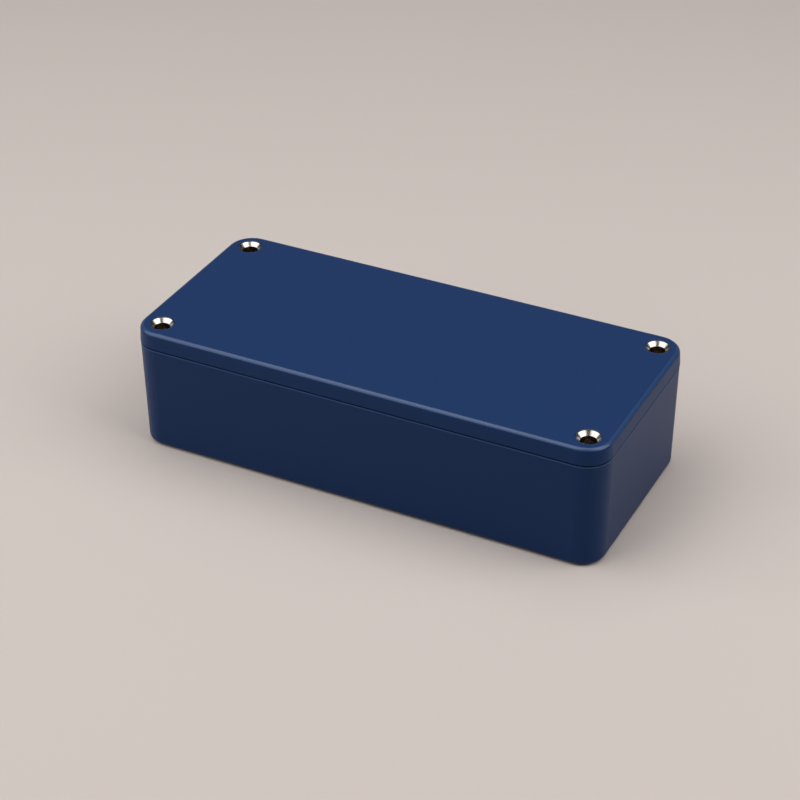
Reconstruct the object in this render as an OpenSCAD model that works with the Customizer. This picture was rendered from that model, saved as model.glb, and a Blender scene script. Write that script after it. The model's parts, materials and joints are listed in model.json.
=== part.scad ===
// Small die cast box: a deep base and a shallow lid that laps into its mouth,
// held by a countersunk screw at each corner.
// The bottom of the base stands on z = 0, with the box centred on the z axis.

/* [Box] */
// Length of the closed box, over the lid
box_l = 114; // [90:1:180]
// Width of the closed box, over the lid
box_w = 50.2; // [44:0.1:120]
// Height of the closed box
box_h = 30.2; // [24:0.1:60]
// Radius of the upright corners of the lid
corner_r = 6; // [4.8:0.1:8]
// Height of the fine gap that shows between lid and base
seam_gap = 0.12; // [0.05:0.01:0.2]
// How far that gap runs in from the lid's edge
seam_depth = 0.9; // [0.6:0.1:1.2]

/* [Base] */
// Thickness of the base's wall at its rim
wall_t = 2; // [1.6:0.1:2.4]
// Thickness of the base's floor
floor_t = 2.2; // [1.6:0.1:4]
// Draft of the base's outer sides, in degrees from upright
base_draft = 0.9; // [0.5:0.1:2]
// Draft of the base's inner sides and of its screw pillars
cavity_draft = 1; // [0.5:0.1:1.5]
// Radius round the outer edge of the base's rim
rim_r = 0.3; // [0.15:0.05:0.5]
// Radius round the bottom edge of the base
bottom_r = 1.5; // [0.6:0.1:2.4]
// Radius where the inner sides meet the floor
floor_r = 1.4; // [0.6:0.1:1.8]

/* [Lid] */
// Height of the lid's side, from the seam to the top
lid_h = 4.05; // [3.4:0.05:6]
// Thickness of the lid's plate
plate_t = 2.2; // [1.6:0.1:2.6]
// How far the lid's edge stands out past the base's
lid_step = 0.08; // [0.04:0.02:0.3]
// Draft of the lid's outer side
lid_draft = 3.5; // [1:0.5:6]
// Radius round the lower edge of the lid
edge_r = 0.14; // [0.1:0.02:0.3]
// Radius round the top edge of the lid
top_r = 1; // [0.4:0.1:1.6]
// How far the lid's tongue reaches down into the base
tongue_drop = 1.3; // [0.8:0.1:2.5]
// Thickness of the tongue
tongue_t = 1.4; // [1:0.1:1.6]
// Draft of both sides of the tongue
tongue_draft = 2; // [1:0.5:4]
// Gap between the tongue and the mouth of the base
lap_gap = 0.15; // [0.1:0.05:0.25]
// Radius where the tongue meets the underside of the plate
pocket_r = 0.5; // [0.2:0.1:0.6]

/* [Screws] */
// Distance of each screw from the two outer faces beside it
screw_inset = 5.36; // [5:0.02:7]
// Radius of the round nose of each screw pillar
pillar_r = 3.4; // [3:0.1:4]
// Radius where a pillar's sides meet the walls of the base
pillar_blend = 2.5; // [2.4:0.1:2.6]
// Diameter of the thread in the pillars, to the root of the thread
thread_d = 3; // [2.5:0.1:3.4]
// Depth of the thread below the rim
thread_depth = 14; // [8:0.5:18]
// Diameter of the screw holes through the lid
clear_d = 3.6; // [3.2:0.1:4.2]
// Diameter of the countersinks where the cone would meet the lid's top
sink_d = 5.6; // [4.8:0.1:6.4]
// Radius of the rounded lip round each countersink
sink_lip_r = 0.4; // [0.2:0.05:0.6]
// Full angle of the countersinks
sink_angle = 90; // [82:2:100]

/* [Casting marks] */
// Diameter of the faint rounds that the ejector pins leave inside
pin_mark_d = 4; // [3:0.5:6]
// Depth of those rounds
pin_mark_depth = 0.15; // [0.05:0.05:0.4]
// Distance between neighbouring rounds along the box
pin_pitch_l = 36; // [20:1:38]
// Distance between neighbouring rounds across the box
pin_pitch_w = 22; // [12:1:24]

/* [Hidden] */
$fn = 96;

// Places are held to a binary step of about 0.000001 mm, so that their sums are exact
// and two pieces that meet share the very same plane.
function exact(v) = is_list(v) ? [for (x = v) exact(x)] : round(v * pow(2, 20)) / pow(2, 20);

top_z = exact(box_h);
rim_z = exact(box_h - lid_h);
floor_z = exact(floor_t);
plate_z = exact(box_h - plate_t);
tongue_z = exact(rim_z - tongue_drop);
// corner centres of the outer rounds, shared by base and lid
corner = exact([box_l / 2 - corner_r, box_w / 2 - corner_r]);
// half the mouth of the base at its rim
mouth = exact([box_l / 2, box_w / 2] - [1, 1] * (lid_step + wall_t));
screw = exact([box_l / 2, box_w / 2] - [1, 1] * screw_inset);
sink_depth = (sink_d - clear_d) / 2 / tan(sink_angle / 2);
drill_tip = thread_d / 2 / tan(59);
thread_lead_in = 0.3;
// how far a cutter runs on past the face that it opens
over = 1;
// A sloping line and a round that only touch leave a splinter between them. The line's
// end is drawn in by this much, and the two then cross.
tuck = 0.0005;

paint = [0.13, 0.2, 0.36];

// ---- Profiles: a list of corners [x, y, radius], the radius below 0 for an inner corner ----

function unit(v) = v / norm(v);
function xy(p) = [p.x, p.y];
function slopes(v) = abs(v.x) > 1e-9 && abs(v.y) > 1e-9;

// Directions from corner i to the corners before and after it
function arms(c, i) = [
    for (j = [i + len(c) - 1, i + 1]) unit(xy(c[j % len(c)]) - xy(c[i]))
];
function half_angle(c, i) = let (a = arms(c, i)) acos(a[0] * a[1]) / 2;
function round_centre(c, i) =
    let (a = arms(c, i)) xy(c[i]) + unit(a[0] + a[1]) * abs(c[i].z) / sin(half_angle(c, i));
// The points on both arms where the round begins
function round_ends(c, i) = [
    for (v = arms(c, i)) xy(c[i]) + v * abs(c[i].z) / tan(half_angle(c, i))
];
// The same points, those on sloping lines drawn in
function trimmed(c, i) = [
    for (p = round_ends(c, i))
        slopes(p - xy(c[i])) ? p + unit(round_centre(c, i) - p) * tuck : p
];

// The round of corner i, as a slice of its circle that runs on a little at both ends
module slice(c, i) {
    m = round_centre(c, i);
    e = round_ends(c, i);
    run_on = (e[0] - e[1]) / 10;
    intersection() {
        translate(m) circle(r = abs(c[i].z));
        polygon([m, for (p = [e[0] + run_on, xy(c[i]), e[1] - run_on]) 2 * p - m]);
    }
}

module profile(c) {
    all = [0 : len(c) - 1];
    difference() {
        union() {
            polygon([for (i = all) each c[i].z == 0 ? [xy(c[i])] : trimmed(c, i)]);
            for (i = all) if (c[i].z > 0) slice(c, i);
        }
        for (i = all) if (c[i].z < 0) slice(c, i);
    }
}

// ---- Sweeps: a profile's x runs outwards, its y runs up ----

// A straight stretch: it starts at p, faces the direction out, and runs clockwise
module run(p, out, length)
    translate([p.x, p.y, 0]) rotate([0, 0, out]) rotate([90, 0, 0])
        linear_extrude(length) children();

// A quarter turn about p, starting from the direction given
module turn(p, from = 0)
    translate([p.x, p.y, 0]) rotate([0, 0, from]) rotate_extrude(angle = 90) children();

module block(from, to, z)
    translate([from.x, from.y, z[0]]) cube([to.x - from.x, to.y - from.y, z[1] - z[0]]);

// All four quarters of a thing drawn in the quarter where x and y are positive
module quarters()
    for (mx = [0, 1], my = [0, 1]) mirror([mx, 0, 0]) mirror([0, my, 0]) children();

// A solid box with round corners about c, its side shaped by the profile
module round_box(c, z) {
    quarters() {
        block([0, 0], exact(c + [1, 1] * corner_r / 10), z);
        run([0, c.y], 90, c.x) children();
        turn(c) children();
        run(c, 0, c.y) children();
    }
}

// The space inside the base's mouth, drawn in from it by inset: a rectangle that bends
// round the screw pillar in each corner. The profile's x is 0 at the centres of the
// blends beside the pillars, and blend_at(inset) at the mouth's own outline.
function blend_at(inset) = exact(pillar_blend - inset);
module mouth_space(inset, z) {
    nose = exact(pillar_r + inset);
    b = blend_at(inset);
    // inner corners of the strips along the walls and the pillar's sides
    far = exact(mouth - [1, 1] * (inset + b));
    near = screw - [1, 1] * (nose + b);
    lap = exact(b / 10);
    quarters() {
        block([0, 0], [near.x + lap, far.y + lap], z);
        block([0, 0], [far.x + lap, near.y + lap], z);
        run([0, far.y], 90, near.x) children();
        turn([near.x, far.y]) children();
        run([near.x, far.y], 0, far.y - screw.y) children();
        difference() {
            block(near, screw, z);
            turn(screw, 180) difference() {
                translate([0, z[0] - over]) square([nose + b, z[1] - z[0] + 2 * over]);
                translate([nose + b, 0]) mirror([1, 0]) children();
            }
        }
        run([screw.x, near.y], 90, far.x - screw.x) children();
        turn([far.x, near.y]) children();
        run([far.x, near.y], 0, near.y) children();
    }
}

// ---- Details that both castings share ----

module at_screws() quarters() translate([screw.x, screw.y, 0]) children();

// The rounds left by ejector pins, cut upwards from height z
module pin_marks(z)
    for (x = [-1 : 1], y = [-0.5, 0.5])
        translate([x * pin_pitch_l, y * pin_pitch_w, z])
            cylinder(d = pin_mark_d, h = pin_mark_depth + over);

// ---- Base ----

module base_body() {
    rim_x = corner_r - lid_step;
    foot_x = rim_x - rim_z * tan(base_draft);
    round_box(corner, [0, rim_z])
        profile([[0, 0, 0], [foot_x, 0, bottom_r], [rim_x, rim_z, rim_r], [0, rim_z, 0]]);
}

module base_cavity() {
    b = blend_at(0);
    side = tan(cavity_draft);
    end_z = rim_z + over;
    mouth_space(0, [floor_z, end_z]) profile([
        [0, floor_z, 0],
        [b - (rim_z - floor_z) * side, floor_z, floor_r],
        [b + over * side, end_z, 0],
        [0, end_z, 0]
    ]);
}

// A blind hole with a drill's point below and a lead-in above
module thread_hole() {
    r = thread_d / 2;
    bottom = rim_z - thread_depth;
    rotate_extrude() polygon([
        [0, bottom - drill_tip],
        [r, bottom],
        [r, rim_z - thread_lead_in],
        [r + thread_lead_in + over, rim_z + over],
        [0, rim_z + over]
    ]);
}

module base() color(paint) difference() {
    base_body();
    base_cavity();
    pin_marks(floor_z - pin_mark_depth);
    at_screws() thread_hole();
}

// ---- Lid ----

// The lid rests on the rim inside the gap that shows at the seam
module lid_body() {
    rest_x = corner_r - seam_depth;
    edge_z = rim_z + seam_gap;
    top_x = corner_r - (lid_h - seam_gap) * tan(lid_draft);
    round_box(corner, [rim_z, top_z]) profile([
        [0, rim_z, 0], [rest_x, rim_z, 0], [rest_x, edge_z, 0],
        [corner_r, edge_z, edge_r], [top_x, top_z, top_r], [0, top_z, 0]
    ]);
}

// It starts a little way up inside the lid's body
module tongue() {
    b = blend_at(lap_gap);
    root_z = exact(rim_z + seam_gap);
    mouth_space(lap_gap, [tongue_z, root_z]) profile([
        [0, tongue_z, 0], [b - tongue_drop * tan(tongue_draft), tongue_z, 0],
        [b, rim_z, 0], [b, root_z, 0], [0, root_z, 0]
    ]);
}

// The hollow inside the tongue, up to the underside of the plate
module pocket() {
    inset = lap_gap + tongue_t;
    b = blend_at(inset);
    bottom = tongue_z - over;
    mouth_space(inset, [bottom, plate_z]) profile([
        [0, bottom, 0], [b, bottom, 0],
        [b - (plate_z - bottom) * tan(tongue_draft), plate_z, pocket_r], [0, plate_z, 0]
    ]);
}

module screw_hole() {
    bore = clear_d / 2;
    rim = sink_d / 2;
    rotate_extrude() profile([
        [0, rim_z - over, 0], [bore, rim_z - over, 0], [bore, top_z - sink_depth, 0],
        [rim, top_z, -sink_lip_r], [rim + over, top_z, 0],
        [rim + over, top_z + over, 0], [0, top_z + over, 0]
    ]);
}

module lid() color(paint) difference() {
    union() {
        lid_body();
        tongue();
    }
    pocket();
    pin_marks(plate_z - over);
    at_screws() screw_hole();
}

base();
lid();
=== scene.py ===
"""Dresses the die cast aluminium box: blue paint on both castings, bare metal in
the screw holes, and the threads cut in the four pillars."""

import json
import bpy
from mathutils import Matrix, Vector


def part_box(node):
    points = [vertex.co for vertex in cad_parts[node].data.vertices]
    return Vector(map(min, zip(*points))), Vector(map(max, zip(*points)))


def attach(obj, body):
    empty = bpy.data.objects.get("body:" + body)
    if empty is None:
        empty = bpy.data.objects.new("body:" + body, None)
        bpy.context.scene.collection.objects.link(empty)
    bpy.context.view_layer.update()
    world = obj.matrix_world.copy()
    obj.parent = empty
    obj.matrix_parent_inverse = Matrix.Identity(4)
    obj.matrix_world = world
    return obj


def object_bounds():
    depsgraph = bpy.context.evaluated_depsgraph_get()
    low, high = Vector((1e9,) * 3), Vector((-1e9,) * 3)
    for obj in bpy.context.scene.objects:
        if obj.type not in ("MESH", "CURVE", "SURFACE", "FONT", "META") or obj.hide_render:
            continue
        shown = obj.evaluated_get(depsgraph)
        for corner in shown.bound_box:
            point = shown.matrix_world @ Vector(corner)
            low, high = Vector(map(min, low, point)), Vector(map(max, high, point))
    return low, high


bl_info = {
    "name": "Die Cast Box Finish",
    "version": (1, 0, 0),
    "blender": (4, 5, 0),
    "location": "View3D > Sidebar > Die Cast Box",
    "description": "Paints a die cast box, cuts its pillar threads and sets a studio round it",
    "category": "Object",
}

from functools import reduce
from math import cos, pi, radians, sin

import bpy
from bpy.props import FloatProperty, FloatVectorProperty, IntProperty, PointerProperty
from mathutils import Matrix, Vector

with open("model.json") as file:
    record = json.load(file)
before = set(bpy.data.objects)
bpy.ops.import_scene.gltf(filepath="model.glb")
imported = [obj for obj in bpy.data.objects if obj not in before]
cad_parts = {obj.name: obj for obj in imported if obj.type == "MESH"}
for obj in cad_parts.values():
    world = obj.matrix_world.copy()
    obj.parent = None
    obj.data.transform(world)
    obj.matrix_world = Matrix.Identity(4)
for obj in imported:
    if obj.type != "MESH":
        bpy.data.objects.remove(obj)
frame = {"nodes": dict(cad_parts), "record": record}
CAD_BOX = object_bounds()
MM = 0.001


def mount(name):
    """The place on the box that other parts are fixed to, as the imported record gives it."""
    return next(m for m in frame["record"]["mounts"] if m["name"] == name)


# a little below the foot of the countersinks, so that the whole cone is bare
SINK_Z = mount("screw_holes")["pos_m"][2] - 0.2 * MM
SCREWS = mount("screw_holes")["dims"]
THREADS = mount("pillar_threads")["dims"]
SCREW_X = SCREWS["spacing_x_mm"] * MM / 2
SCREW_Y = SCREWS["spacing_y_mm"] * MM / 2
BORE = SCREWS["hole_r_mm"] * MM
THREAD_ROOT = THREADS["hole_r_mm"] * MM
RIM_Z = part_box("base")[1].z

# the radius of the box's upright corners, and how deep the seam's groove is
CORNER = 6 * MM
SEAM_DEPTH = 0.9 * MM
# a height well past the seam or the underside, where a mask can end unseen
CLEAR = 1 * MM
# how far past a bore's wall its bare edge and its darker colour of painted shade go
CUT_MARGIN = 0.03 * MM
BORE_MARGIN = 0.05 * MM
# the flat top is left out of the edge's gloss and painted highlight from this far below it
TOP_MARGIN = 0.02 * MM
# half the width over which one finish passes into the next
# the dark line is the seam's painted shade, and the pale line a painted highlight on the base's
# rim
SOFT = {
    "cut": 0.02 * MM, "cut edge": 0.03 * MM, "bore": 0.06 * MM, "groove": 0.02 * MM,
    "dark line": 0.01 * MM, "pale line": 0.02 * MM, "pale line foot": 0.05 * MM,
    "gloss top": 0.015 * MM, "gloss foot": 0.15 * MM,
}
# how many grains lie across one flow wave, and how many waves across one dull patch
GRAINS = 9
PATCH = 8
# the thread's ridge at its foot and at its crest, as shares of the pitch, and how far
# the foot is sunk into the pillar
RIDGE_FOOT = 0.875
RIDGE_CREST = 0.125
BURIED = 0.02 * MM


# Node trees


class Wire:
    """An output socket. Arithmetic on it adds Math nodes to its tree."""

    def __init__(self, tree, socket):
        self.tree, self.socket = tree, socket

    def math(self, operation, *values):
        return self.tree.add(
            "ShaderNodeMath", {"operation": operation}, dict(enumerate(values))
        )

    def __add__(self, other):
        return self.math("ADD", self, other)

    def __radd__(self, other):
        return self.math("ADD", other, self)

    def __sub__(self, other):
        return self.math("SUBTRACT", self, other)

    def __rsub__(self, other):
        return self.math("SUBTRACT", other, self)

    def __mul__(self, other):
        return self.math("MULTIPLY", self, other)

    def __rmul__(self, other):
        return self.math("MULTIPLY", other, self)

    def __truediv__(self, other):
        return self.math("DIVIDE", self, other)

    def most(self, other):
        return self.math("MAXIMUM", self, other)

    def sine(self):
        return self.math("SINE", self)


class Tree:
    """A shader or geometry node tree, filled through one method."""

    def __init__(self, tree):
        tree.nodes.clear()
        self.tree = tree

    def add(self, kind, settings=None, inputs=None, output=0):
        """Adds a node, makes its settings and then its inputs, and gives one output."""
        node = self.tree.nodes.new(kind)
        for name, value in (settings or {}).items():
            setattr(node, name, value)
        for name, value in (inputs or {}).items():
            if isinstance(value, Wire):
                self.tree.links.new(value.socket, node.inputs[name])
            else:
                node.inputs[name].default_value = value
        return Wire(self, node.outputs[output]) if node.outputs else node

    def vector(self, operation, *values, output=0):
        return self.add(
            "ShaderNodeVectorMath", {"operation": operation}, dict(enumerate(values)), output
        )

    def step(self, value, edge, soft):
        """1 below the edge and 0 above it, with a soft change between."""
        return self.add(
            "ShaderNodeMapRange",
            {"interpolation_type": "SMOOTHSTEP"},
            {"Value": value, "From Min": edge - soft, "From Max": edge + soft,
             "To Min": 1.0, "To Max": 0.0},
        )

    def mix_colour(self, factor, first, second):
        return self.add(
            "ShaderNodeMix", {"data_type": "RGBA"}, {0: factor, 6: first, 7: second}, 2
        )

    def noise(self, place, size, detail=2.0):
        return self.add(
            "ShaderNodeTexNoise", None, {"Vector": place, "Scale": 1 / size, "Detail": detail}
        )


# Sizes and colours


class PaintSettings(bpy.types.PropertyGroup):
    colour: FloatVectorProperty(
        name="Colour", description="Colour of the baked paint on both castings",
        subtype="COLOR", size=3, min=0, max=1, default=(0.0038, 0.0205, 0.077),
    )
    roughness: FloatProperty(
        name="Roughness", description="How matt the paint is",
        subtype="FACTOR", min=0, max=1, default=0.4,
    )
    gloss: FloatProperty(
        name="Gloss", description="Strength of the paint's reflections",
        subtype="FACTOR", min=0, max=1, default=0.2,
    )
    gloss_tint: FloatVectorProperty(
        name="Gloss Tint", description="Colour of the paint's reflections seen straight on",
        subtype="COLOR", size=3, min=0, max=1, default=(0.58, 0.74, 1.0),
    )
    flow_size: FloatProperty(
        name="Flow Size", description="Width of the soft waves that the paint dries in",
        unit="LENGTH", min=0.1 * MM, default=1.6 * MM, precision=5,
    )
    flow_depth: FloatProperty(
        name="Flow Depth", description="Height of those waves",
        unit="LENGTH", min=0, default=0.004 * MM, precision=6,
    )
    grain: FloatProperty(
        name="Grain", description="Height of the finer grain as a share of the waves'",
        subtype="FACTOR", min=0, max=1, default=0.12,
    )
    patchiness: FloatProperty(
        name="Patchiness", description="How far the roughness differs from patch to patch",
        subtype="FACTOR", min=0, max=1, default=0.04,
    )
    # the seam's dark line is painted shade where the lid's edge shades the base's rim
    seam_drop: FloatProperty(
        name="Seam Drop", description="How far down the base's rim the seam's dark line goes",
        unit="LENGTH", min=0, default=0.2 * MM, precision=5,
    )
    seam_rise: FloatProperty(
        name="Seam Rise", description="How far up the lid's edge that line goes",
        unit="LENGTH", min=0, default=0.05 * MM, precision=5,
    )
    seam_roughness: FloatProperty(
        name="Seam Roughness", description="How matt that line is",
        subtype="FACTOR", min=0, max=1, default=0.9,
    )
    seam_shade: FloatProperty(
        name="Seam Shade", description="Colour of that line as a share of the paint's",
        subtype="FACTOR", min=0, max=1, default=0.4,
    )
    # the paler line under the dark one is a painted highlight on the base's rim round
    painted_highlight_drop: FloatProperty(
        name="Pale Line Drop",
        description="How far below the rim the paler line under the dark one ends",
        unit="LENGTH", min=0, default=0.52 * MM, precision=5,
    )
    # colour of the painted highlight on the rim line and round the lid's top edge
    painted_highlight_colour: FloatVectorProperty(
        name="Pale Colour", description="Colour of that line and of the lid's top edge",
        subtype="COLOR", size=3, min=0, max=1, default=(0.022, 0.054, 0.135),
    )
    # this share also mixes the painted highlight colour in round the lid's top edge
    edge_gloss: FloatProperty(
        name="Edge Gloss", description="Extra gloss round the lid's top edge",
        subtype="FACTOR", min=0, max=1, default=0.5,
    )
    edge_gloss_depth: FloatProperty(
        name="Edge Gloss Depth", description="How far down from the top that gloss goes",
        unit="LENGTH", min=0, default=0.5 * MM, precision=5,
    )
    edge_roughness: FloatProperty(
        name="Edge Roughness", description="How matt that extra gloss is",
        subtype="FACTOR", min=0, max=1, default=0.25,
    )
    # painted shade on the paint's rounded lip where it ends at the bare cut
    end_width: FloatProperty(
        name="Dark Edge", description="Width of the dark edge where the paint ends at bare metal",
        unit="LENGTH", min=0, default=0.2 * MM, precision=5,
    )
    end_shade: FloatProperty(
        name="Dark Edge Shade", description="Colour of that edge as a share of the paint's",
        subtype="FACTOR", min=0, max=1, default=0.2,
    )


class BareMetalSettings(bpy.types.PropertyGroup):
    colour: FloatVectorProperty(
        name="Colour", description="Colour of the cut aluminium",
        subtype="COLOR", size=3, min=0, max=1, default=(0.5, 0.465, 0.43),
    )
    # painted shade: a darker, browner colour down in the bores
    bore_shade_colour: FloatVectorProperty(
        name="Bore Colour", description="Colour of the metal down in the bores",
        subtype="COLOR", size=3, min=0, max=1, default=(0.34, 0.25, 0.19),
    )
    roughness: FloatProperty(
        name="Roughness", description="How dull the cut metal is",
        subtype="FACTOR", min=0, max=1, default=0.24,
    )
    thread_roughness: FloatProperty(
        name="Thread Roughness", description="How dull the metal of the threads is",
        subtype="FACTOR", min=0, max=1, default=0.34,
    )
    sink_radius: FloatProperty(
        name="Countersink Radius", description="Where the bare cone meets the paint on the lid",
        unit="LENGTH", min=0, default=2.64 * MM, precision=5,
    )
    mark_pitch: FloatProperty(
        name="Tool Mark Pitch", description="Distance between the rings that the cutter leaves",
        unit="LENGTH", min=0.01 * MM, default=0.16 * MM, precision=5,
    )
    mark_depth: FloatProperty(
        name="Tool Mark Depth", description="Depth of those rings",
        unit="LENGTH", min=0, default=0.002 * MM, precision=6,
    )


class ThreadSettings(bpy.types.PropertyGroup):
    pitch: FloatProperty(
        name="Pitch", description="Rise of the thread in one turn",
        unit="LENGTH", min=0.2 * MM, default=0.5 * MM, precision=5,
    )
    crest_radius: FloatProperty(
        name="Crest Radius", description="Half the clear width inside the thread",
        unit="LENGTH", min=0.5 * MM, default=1.23 * MM, precision=5,
    )
    depth: FloatProperty(
        name="Depth", description="Length of thread in a pillar",
        unit="LENGTH", min=1 * MM, default=13 * MM, precision=5,
    )
    lead_in: FloatProperty(
        name="Lead In", description="Plain length between the pillar's top and the first turn",
        unit="LENGTH", min=0, default=0.6 * MM, precision=5,
    )
    segments: IntProperty(
        name="Segments", description="Straight pieces in one turn", min=8, max=96, default=32,
    )


class StageSettings(bpy.types.PropertyGroup):
    floor_colour: FloatVectorProperty(
        name="Floor", description="Colour of the floor",
        subtype="COLOR", size=3, min=0, max=1, default=(0.428, 0.379, 0.354),
    )
    floor_roughness: FloatProperty(
        name="Floor Roughness", description="How matt the floor is",
        subtype="FACTOR", min=0, max=1, default=0.9,
    )
    floor_width: FloatProperty(
        name="Floor Width", description="Length of the floor's four sides",
        unit="LENGTH", min=0, default=6.0,
    )
    room_colour: FloatVectorProperty(
        name="Room", description="Colour of the light from all round",
        subtype="COLOR", size=3, min=0, max=1, default=(0.02, 0.02, 0.02),
    )
    left_power: FloatProperty(
        name="Left Softbox", description="Power of the tall softbox on the camera's left",
        unit="POWER", min=0, default=4.4,
    )
    right_power: FloatProperty(
        name="Right Softbox", description="Power of the softbox on the camera's right",
        unit="POWER", min=0, default=3.0,
    )
    top_power: FloatProperty(
        name="Top Softbox", description="Power of the softbox overhead",
        unit="POWER", min=0, default=2.8,
    )
    card_power: FloatProperty(
        name="Back Card", description="Power of the dim card behind the box",
        unit="POWER", min=0, default=1.0,
    )
    azimuth: FloatProperty(
        name="Camera Azimuth", description="Turn of the camera round the box",
        subtype="ANGLE", unit="ROTATION", default=0.4704,
    )
    elevation: FloatProperty(
        name="Camera Elevation", description="Angle of the camera above the floor",
        subtype="ANGLE", unit="ROTATION", default=0.5707,
    )
    roll: FloatProperty(
        name="Camera Roll", description="Tilt of the camera about its own axis",
        subtype="ANGLE", unit="ROTATION", default=-0.00724,
    )
    distance: FloatProperty(
        name="Camera Distance", description="From the camera to the middle of the box",
        unit="LENGTH", min=0.1, default=0.4906,
    )
    lens: FloatProperty(
        name="Lens", description="Focal length for a 36 mm wide sensor in millimetres",
        min=10, default=97.76,
    )
    slide: FloatVectorProperty(
        name="Slide", description="How far the camera stands right of and above its aim",
        subtype="TRANSLATION", unit="LENGTH", size=2, default=(-0.00217, 0.00054), precision=5,
    )
    shift: FloatVectorProperty(
        name="Shift", description="Lens shift across and up, as a share of the picture's width",
        size=2, default=(0.0025, -0.0131), precision=4,
    )


# Finishes


def painted_casting(name, cuts, seam, paint, metal):
    """Paint with fine flow waves, bare turned metal where each screw's hole was cut, a
    dull dark line of painted shade between the two heights of the seam with a paler
    line of painted highlight under it, and more gloss with a painted highlight round
    the top edge. The paint's edge at each cut and the bores get painted shade too.
    Each cut is a radius round the screw's axis and the height that it goes down to."""
    material = bpy.data.materials.new(name)
    material.use_nodes = True
    tree = Tree(material.node_tree)
    place = tree.add("ShaderNodeTexCoord", output="Object")

    # one quarter stands for all four: how far each point is from its screw's axis
    quarter = tree.vector("ABSOLUTE", place)
    from_axis = tree.add(
        "ShaderNodeMapping", None,
        {"Vector": quarter, "Location": (-SCREW_X, -SCREW_Y, 0), "Scale": (1, 1, 0)},
    )
    radius = tree.vector("LENGTH", from_axis, output="Value")
    level = tree.add("ShaderNodeSeparateXYZ", None, {"Vector": place}, "Z")

    def near_cuts(margin, soft):
        masks = [tree.step(radius, reach + margin, soft) * (1 - tree.step(level, foot, soft))
                 for reach, foot in cuts]
        return reduce(Wire.most, masks)

    bare = near_cuts(0, SOFT["cut"])

    waves = tree.noise(place, paint.flow_size)
    grain = tree.noise(place, paint.flow_size / GRAINS, detail=3.0)
    rings = (radius * (2 * pi / metal.mark_pitch)).sine()
    skin = (waves + paint.grain * grain) * paint.flow_depth
    height = skin * (1 - bare) + rings * metal.mark_depth / 2 * bare
    normal = tree.add(
        "ShaderNodeBump", None, {"Height": height, "Strength": 1.0, "Distance": 1.0}
    )

    # the seam's dark line of painted shade goes no further in than the gap between the two
    # castings: how far each point is outside the middles of the upright corners, in plan
    low, high = seam
    side = CAD_BOX[1] - Vector((CORNER, CORNER, 0))
    out_of_reach = 1.0
    outward = tree.vector(
        "MAXIMUM", tree.vector("SUBTRACT", quarter, (side.x, side.y, out_of_reach)), (0, 0, 0)
    )
    depth = tree.vector("LENGTH", outward, output="Value")
    in_groove = 1 - tree.step(depth, CORNER - SEAM_DEPTH, SOFT["groove"])
    # painted shade: the seam's dark, matt line between its two heights
    painted_seam_shade = in_groove * tree.step(level, high, SOFT["dark line"]) * (
        1 - tree.step(level, low, SOFT["dark line"])
    )
    # painted highlight: the paler line on the base's rim round, under the seam's painted shade
    painted_rim_highlight = tree.step(level, low, SOFT["pale line"]) * (
        1 - tree.step(level, RIM_Z - paint.painted_highlight_drop, SOFT["pale line foot"])
    )

    # the gloss, and a painted highlight in the colour, are on the round of the top edge, and the
    # flat top keeps its own
    top = CAD_BOX[1].z
    gloss_and_painted_highlight = paint.edge_gloss * (1 - bare) * tree.step(
        level, top - TOP_MARGIN, SOFT["gloss top"]
    ) * (1 - tree.step(level, top - paint.edge_gloss_depth, SOFT["gloss foot"]))

    patches = tree.noise(place, paint.flow_size * PATCH)
    smooth = paint.roughness - paint.patchiness / 2 + paint.patchiness * patches
    coated = smooth * (1 - painted_seam_shade) + paint.seam_roughness * painted_seam_shade
    dullness = coated * (1 - bare) + metal.roughness * bare

    # the paint ends in a dark edge of painted shade, and the bore has a darker colour of painted
    # shade than the cone
    edge = near_cuts(paint.end_width, SOFT["cut edge"])
    painted_edge_shade_colour = tuple(paint.end_shade * c for c in paint.colour)
    # the seam's painted shade is the paint's colour made darker
    seam_shade_colour = tuple(paint.seam_shade * c for c in paint.colour)
    # painted highlight: the paler colour on the rim line and round the lid's top edge
    pale = tree.mix_colour(
        painted_rim_highlight + gloss_and_painted_highlight, (*paint.colour, 1), (*paint.painted_highlight_colour, 1)
    )
    body = tree.mix_colour(painted_seam_shade, pale, (*seam_shade_colour, 1))
    coat = tree.mix_colour(edge, body, (*painted_edge_shade_colour, 1))
    # painted shade: the bores are darker than the cone
    deep = tree.step(radius, BORE + BORE_MARGIN, SOFT["bore"])
    cut = tree.mix_colour(deep, (*metal.colour, 1), (*metal.bore_shade_colour, 1))
    colour = tree.mix_colour(bare, coat, cut)
    surface = tree.add(
        "ShaderNodeBsdfPrincipled", None,
        {"Base Color": colour, "Metallic": bare, "Roughness": dullness, "Normal": normal,
         "Specular IOR Level": paint.gloss, "Specular Tint": (*paint.gloss_tint, 1),
         "Coat Weight": gloss_and_painted_highlight, "Coat Roughness": paint.edge_roughness},
    )
    tree.add("ShaderNodeOutputMaterial", None, {"Surface": surface})
    return material


def plain(name, colour, roughness, metallic=0.0):
    """A finish that is the same all over."""
    material = bpy.data.materials.new(name)
    material.use_nodes = True
    tree = Tree(material.node_tree)
    surface = tree.add(
        "ShaderNodeBsdfPrincipled", None,
        {"Base Color": (*colour, 1), "Metallic": metallic, "Roughness": roughness},
    )
    tree.add("ShaderNodeOutputMaterial", None, {"Surface": surface})
    return material


def dress(node, material):
    """Gives a casting one material in place of its plain one."""
    for slot in frame["nodes"][node].material_slots:
        slot.material = material


# Pieces


def linked(name, data):
    """A new object in the scene."""
    made = bpy.data.objects.new(name, data)
    bpy.context.scene.collection.objects.link(made)
    return made


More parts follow.
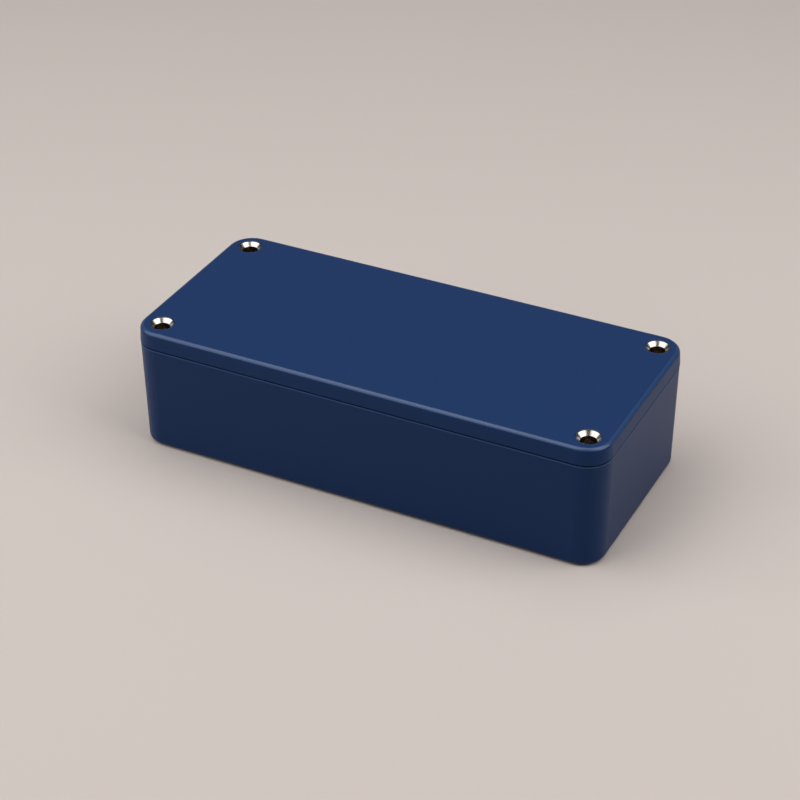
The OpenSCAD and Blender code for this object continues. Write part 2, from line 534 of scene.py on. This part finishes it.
class DIECAST_OT_base(bpy.types.Operator):
    """Paints the base and leaves its four screw bores bare"""

    bl_idname = "diecast.base"
    bl_label = "Paint the Base"

    def execute(self, context):
        paint, metal = context.scene.diecast_paint, context.scene.diecast_metal
        # the seam's painted shade runs from this far down the base's rim to well above it
        seam = (RIM_Z - paint.seam_drop, RIM_Z + CLEAR)
        cuts = ((THREAD_ROOT + CUT_MARGIN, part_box("base")[0].z + CLEAR),)
        dress("base", painted_casting("Blue paint on the base", cuts, seam, paint, metal))
        return {"FINISHED"}


class DIECAST_OT_lid(bpy.types.Operator):
    """Paints the lid and leaves its countersinks bare"""

    bl_idname = "diecast.lid"
    bl_label = "Paint the Lid"

    def execute(self, context):
        paint, metal = context.scene.diecast_paint, context.scene.diecast_metal
        # the seam's painted shade runs from well below the rim to this far up the lid's edge
        seam = (RIM_Z - CLEAR, RIM_Z + paint.seam_rise)
        cuts = ((BORE + CUT_MARGIN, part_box("lid")[0].z), (metal.sink_radius, SINK_Z))
        dress("lid", painted_casting("Blue paint on the lid", cuts, seam, paint, metal))
        return {"FINISHED"}


def thread_tree():
    """A ridge that climbs round each of the four bores, from the sizes it is given."""
    group = bpy.data.node_groups.new("Pillar threads", "GeometryNodeTree")
    face = group.interface
    for name in ("Pitch", "Depth", "Root Radius", "Crest Radius", "Top",
                 "Spacing X", "Spacing Y"):
        face.new_socket(name, in_out="INPUT", socket_type="NodeSocketFloat")
    face.new_socket("Segments", in_out="INPUT", socket_type="NodeSocketInt")
    face.new_socket("Material", in_out="INPUT", socket_type="NodeSocketMaterial")
    face.new_socket("Geometry", in_out="OUTPUT", socket_type="NodeSocketGeometry")

    tree = Tree(group)
    given = tree.add("NodeGroupInput").socket.node.outputs

    def size(name):
        return Wire(tree, given[name])

    pitch, depth, root = size("Pitch"), size("Depth"), size("Root Radius")
    crest = size("Crest Radius")
    ridge = tree.add(
        "GeometryNodeCurvePrimitiveQuadrilateral", {"mode": "TRAPEZOID"},
        {"Bottom Width": pitch * RIDGE_FOOT, "Top Width": pitch * RIDGE_CREST, "Offset": 0.0,
         "Height": root - crest + BURIED},
    )
    turns = tree.add(
        "GeometryNodeCurveSpiral", None,
        {"Resolution": size("Segments"), "Rotations": (depth - pitch) / pitch,
         "Start Radius": (root + BURIED + crest) / 2,
         "End Radius": (root + BURIED + crest) / 2, "Height": depth - pitch},
    )
    level = tree.add("GeometryNodeSetCurveNormal", {"mode": "Z_UP"}, {"Curve": turns})
    thread = tree.add(
        "GeometryNodeCurveToMesh", None,
        {"Curve": level, "Profile Curve": ridge, "Fill Caps": True},
    )
    foot = tree.add("ShaderNodeCombineXYZ", None, {"Z": size("Top") - depth + pitch / 2})
    standing = tree.add(
        "GeometryNodeTransform", None, {"Geometry": thread, "Translation": foot}
    )
    holes = tree.add(
        "GeometryNodeMeshGrid", None,
        {"Size X": size("Spacing X"), "Size Y": size("Spacing Y"),
         "Vertices X": 2, "Vertices Y": 2},
    )
    all_four = tree.add(
        "GeometryNodeInstanceOnPoints", None, {"Points": holes, "Instance": standing}
    )
    solid = tree.add("GeometryNodeRealizeInstances", None, {"Geometry": all_four})
    cut = tree.add(
        "GeometryNodeSetMaterial", None, {"Geometry": solid, "Material": size("Material")}
    )
    tree.add("NodeGroupOutput", None, {"Geometry": cut})
    return group


def grown(name, group, values):
    """The mesh that a geometry tree makes, as a plain object with no modifier."""
    seed = linked(name + " seed", bpy.data.meshes.new(name + " seed"))
    modifier = seed.modifiers.new(name, "NODES")
    modifier.node_group = group
    sockets = {item.name: item.identifier for item in group.interface.items_tree
               if item.in_out == "INPUT"}
    for socket, value in values.items():
        modifier[sockets[socket]] = value
    graph = bpy.context.evaluated_depsgraph_get()
    mesh = bpy.data.meshes.new_from_object(seed.evaluated_get(graph))
    bpy.data.objects.remove(seed)
    if not mesh.polygons:
        raise RuntimeError(f"the tree for {name} made no faces")
    mesh.name = name
    return linked(name, mesh)


class DIECAST_OT_threads(bpy.types.Operator):
    """Cuts the threads in the four pillars of the base"""

    bl_idname = "diecast.threads"
    bl_label = "Cut the Threads"

    def execute(self, context):
        thread, metal = context.scene.diecast_threads, context.scene.diecast_metal
        bare = plain("Tapped aluminium", metal.colour, metal.thread_roughness, 1.0)
        ridges = grown("pillar_threads", thread_tree(), {
            "Pitch": thread.pitch, "Depth": thread.depth, "Segments": thread.segments,
            "Root Radius": THREAD_ROOT, "Crest Radius": thread.crest_radius,
            "Top": RIM_Z - thread.lead_in,
            "Spacing X": 2 * SCREW_X, "Spacing Y": 2 * SCREW_Y, "Material": bare,
        })
        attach(ridges, "root")
        return {"FINISHED"}


# Studio


SENSOR = 36  # width of the camera's sensor in millimetres

# Each light's turn from the camera round the box and its rise above the floor, in
# degrees, then its distance, width and height
SOFTBOXES = {
    "left": (-78, 42, 0.6, 0.66, 0.86),
    "right": (72, 44, 0.6, 0.5, 0.6),
    "top": (180, 82, 0.72, 0.66, 0.66),
    "card": (180, 33, 1.0, 1.1, 1.1),
}


def softbox(name, power, camera_turn, middle):
    """One of the lights in the table, turned to the middle of the box."""
    turn, rise, distance, width, height = SOFTBOXES[name]
    turn, rise = camera_turn + radians(turn), radians(rise)
    away = Vector((sin(turn) * cos(rise), -cos(turn) * cos(rise), sin(rise)))
    light = bpy.data.lights.new(name + " light", "AREA")
    light.shape = "RECTANGLE"
    light.size, light.size_y, light.energy = width, height, power
    made = linked(name + " light", light)
    made.visible_camera = False
    made.matrix_world = Matrix.Translation(
        middle + away * distance
    ) @ away.to_track_quat("Z", "Y").to_matrix().to_4x4()


class DIECAST_OT_studio(bpy.types.Operator):
    """Lays a pale floor, sets the softboxes round the box and stands the camera in front"""

    bl_idname = "diecast.studio"
    bl_label = "Set the Studio"

    def execute(self, context):
        scene, stage = context.scene, context.scene.diecast_stage
        lo, hi = CAD_BOX
        middle = (lo + hi) / 2

        mesh = bpy.data.meshes.new("floor")
        half = stage.floor_width / 2
        corners = [(x * half, y * half, lo.z) for x, y in ((-1, -1), (1, -1), (1, 1), (-1, 1))]
        mesh.from_pydata(corners, [], [(0, 1, 2, 3)])
        mesh.materials.append(plain("Pale paper", stage.floor_colour, stage.floor_roughness))
        linked("floor", mesh)

        world = bpy.data.worlds.new("Room light")
        world.use_nodes = True
        room = Tree(world.node_tree)
        glow = room.add("ShaderNodeBackground", None, {"Color": (*stage.room_colour, 1)})
        room.add("ShaderNodeOutputWorld", None, {"Surface": glow})
        scene.world = world
        scene.view_settings.view_transform = "Standard"

        turn, rise = stage.azimuth, stage.elevation
        right = Vector((cos(turn), sin(turn), 0))
        back = Vector((sin(turn) * cos(rise), -cos(turn) * cos(rise), sin(rise)))
        up = back.cross(right)
        for name in SOFTBOXES:
            softbox(name, getattr(stage, name + "_power"), turn, middle)

        lens = bpy.data.cameras.new("camera")
        lens.sensor_width, lens.lens = SENSOR, stage.lens
        lens.shift_x, lens.shift_y = stage.shift
        lens.clip_start, lens.clip_end = 0.01, 20
        camera = linked("camera", lens)
        tilt = stage.roll
        across = right * cos(tilt) + up * sin(tilt)
        over = up * cos(tilt) - right * sin(tilt)
        stand = middle + back * stage.distance + across * stage.slide[0] + over * stage.slide[1]
        camera.matrix_world = Matrix.Translation(stand) @ Matrix(
            (across, over, back)
        ).transposed().to_4x4()
        scene.camera = camera
        return {"FINISHED"}


class DIECAST_PT_panel(bpy.types.Panel):
    """Lists the steps and their settings"""

    bl_label = "Die Cast Box"
    bl_space_type = "VIEW_3D"
    bl_region_type = "UI"
    bl_category = "Die Cast Box"

    def draw(self, context):
        for operators, settings in STEPS:
            box = self.layout.box()
            for operator in operators:
                box.operator(operator.bl_idname)
            for group in settings:
                values = getattr(context.scene, group)
                for name in values.bl_rna.properties.keys():
                    if name not in ("rna_type", "name"):
                        box.prop(values, name)


SETTINGS = {
    "diecast_paint": PaintSettings,
    "diecast_metal": BareMetalSettings,
    "diecast_threads": ThreadSettings,
    "diecast_stage": StageSettings,
}
STEPS = (
    ((DIECAST_OT_base, DIECAST_OT_lid), ("diecast_paint", "diecast_metal")),
    ((DIECAST_OT_threads,), ("diecast_threads",)),
    ((DIECAST_OT_studio,), ("diecast_stage",)),
)
OPERATORS = [operator for operators, _ in STEPS for operator in operators]
CLASSES = (*SETTINGS.values(), *OPERATORS, DIECAST_PT_panel)


def register():
    for cls in CLASSES:
        bpy.utils.register_class(cls)
    for name, group in SETTINGS.items():
        setattr(bpy.types.Scene, name, PointerProperty(type=group))


def unregister():
    for name in SETTINGS:
        delattr(bpy.types.Scene, name)
    for cls in reversed(CLASSES):
        bpy.utils.unregister_class(cls)


def main():
    register()
    bpy.ops.diecast.base()
    bpy.ops.diecast.lid()
    bpy.ops.diecast.threads()
    bpy.ops.diecast.studio()


if __name__ == "__main__":
    main()
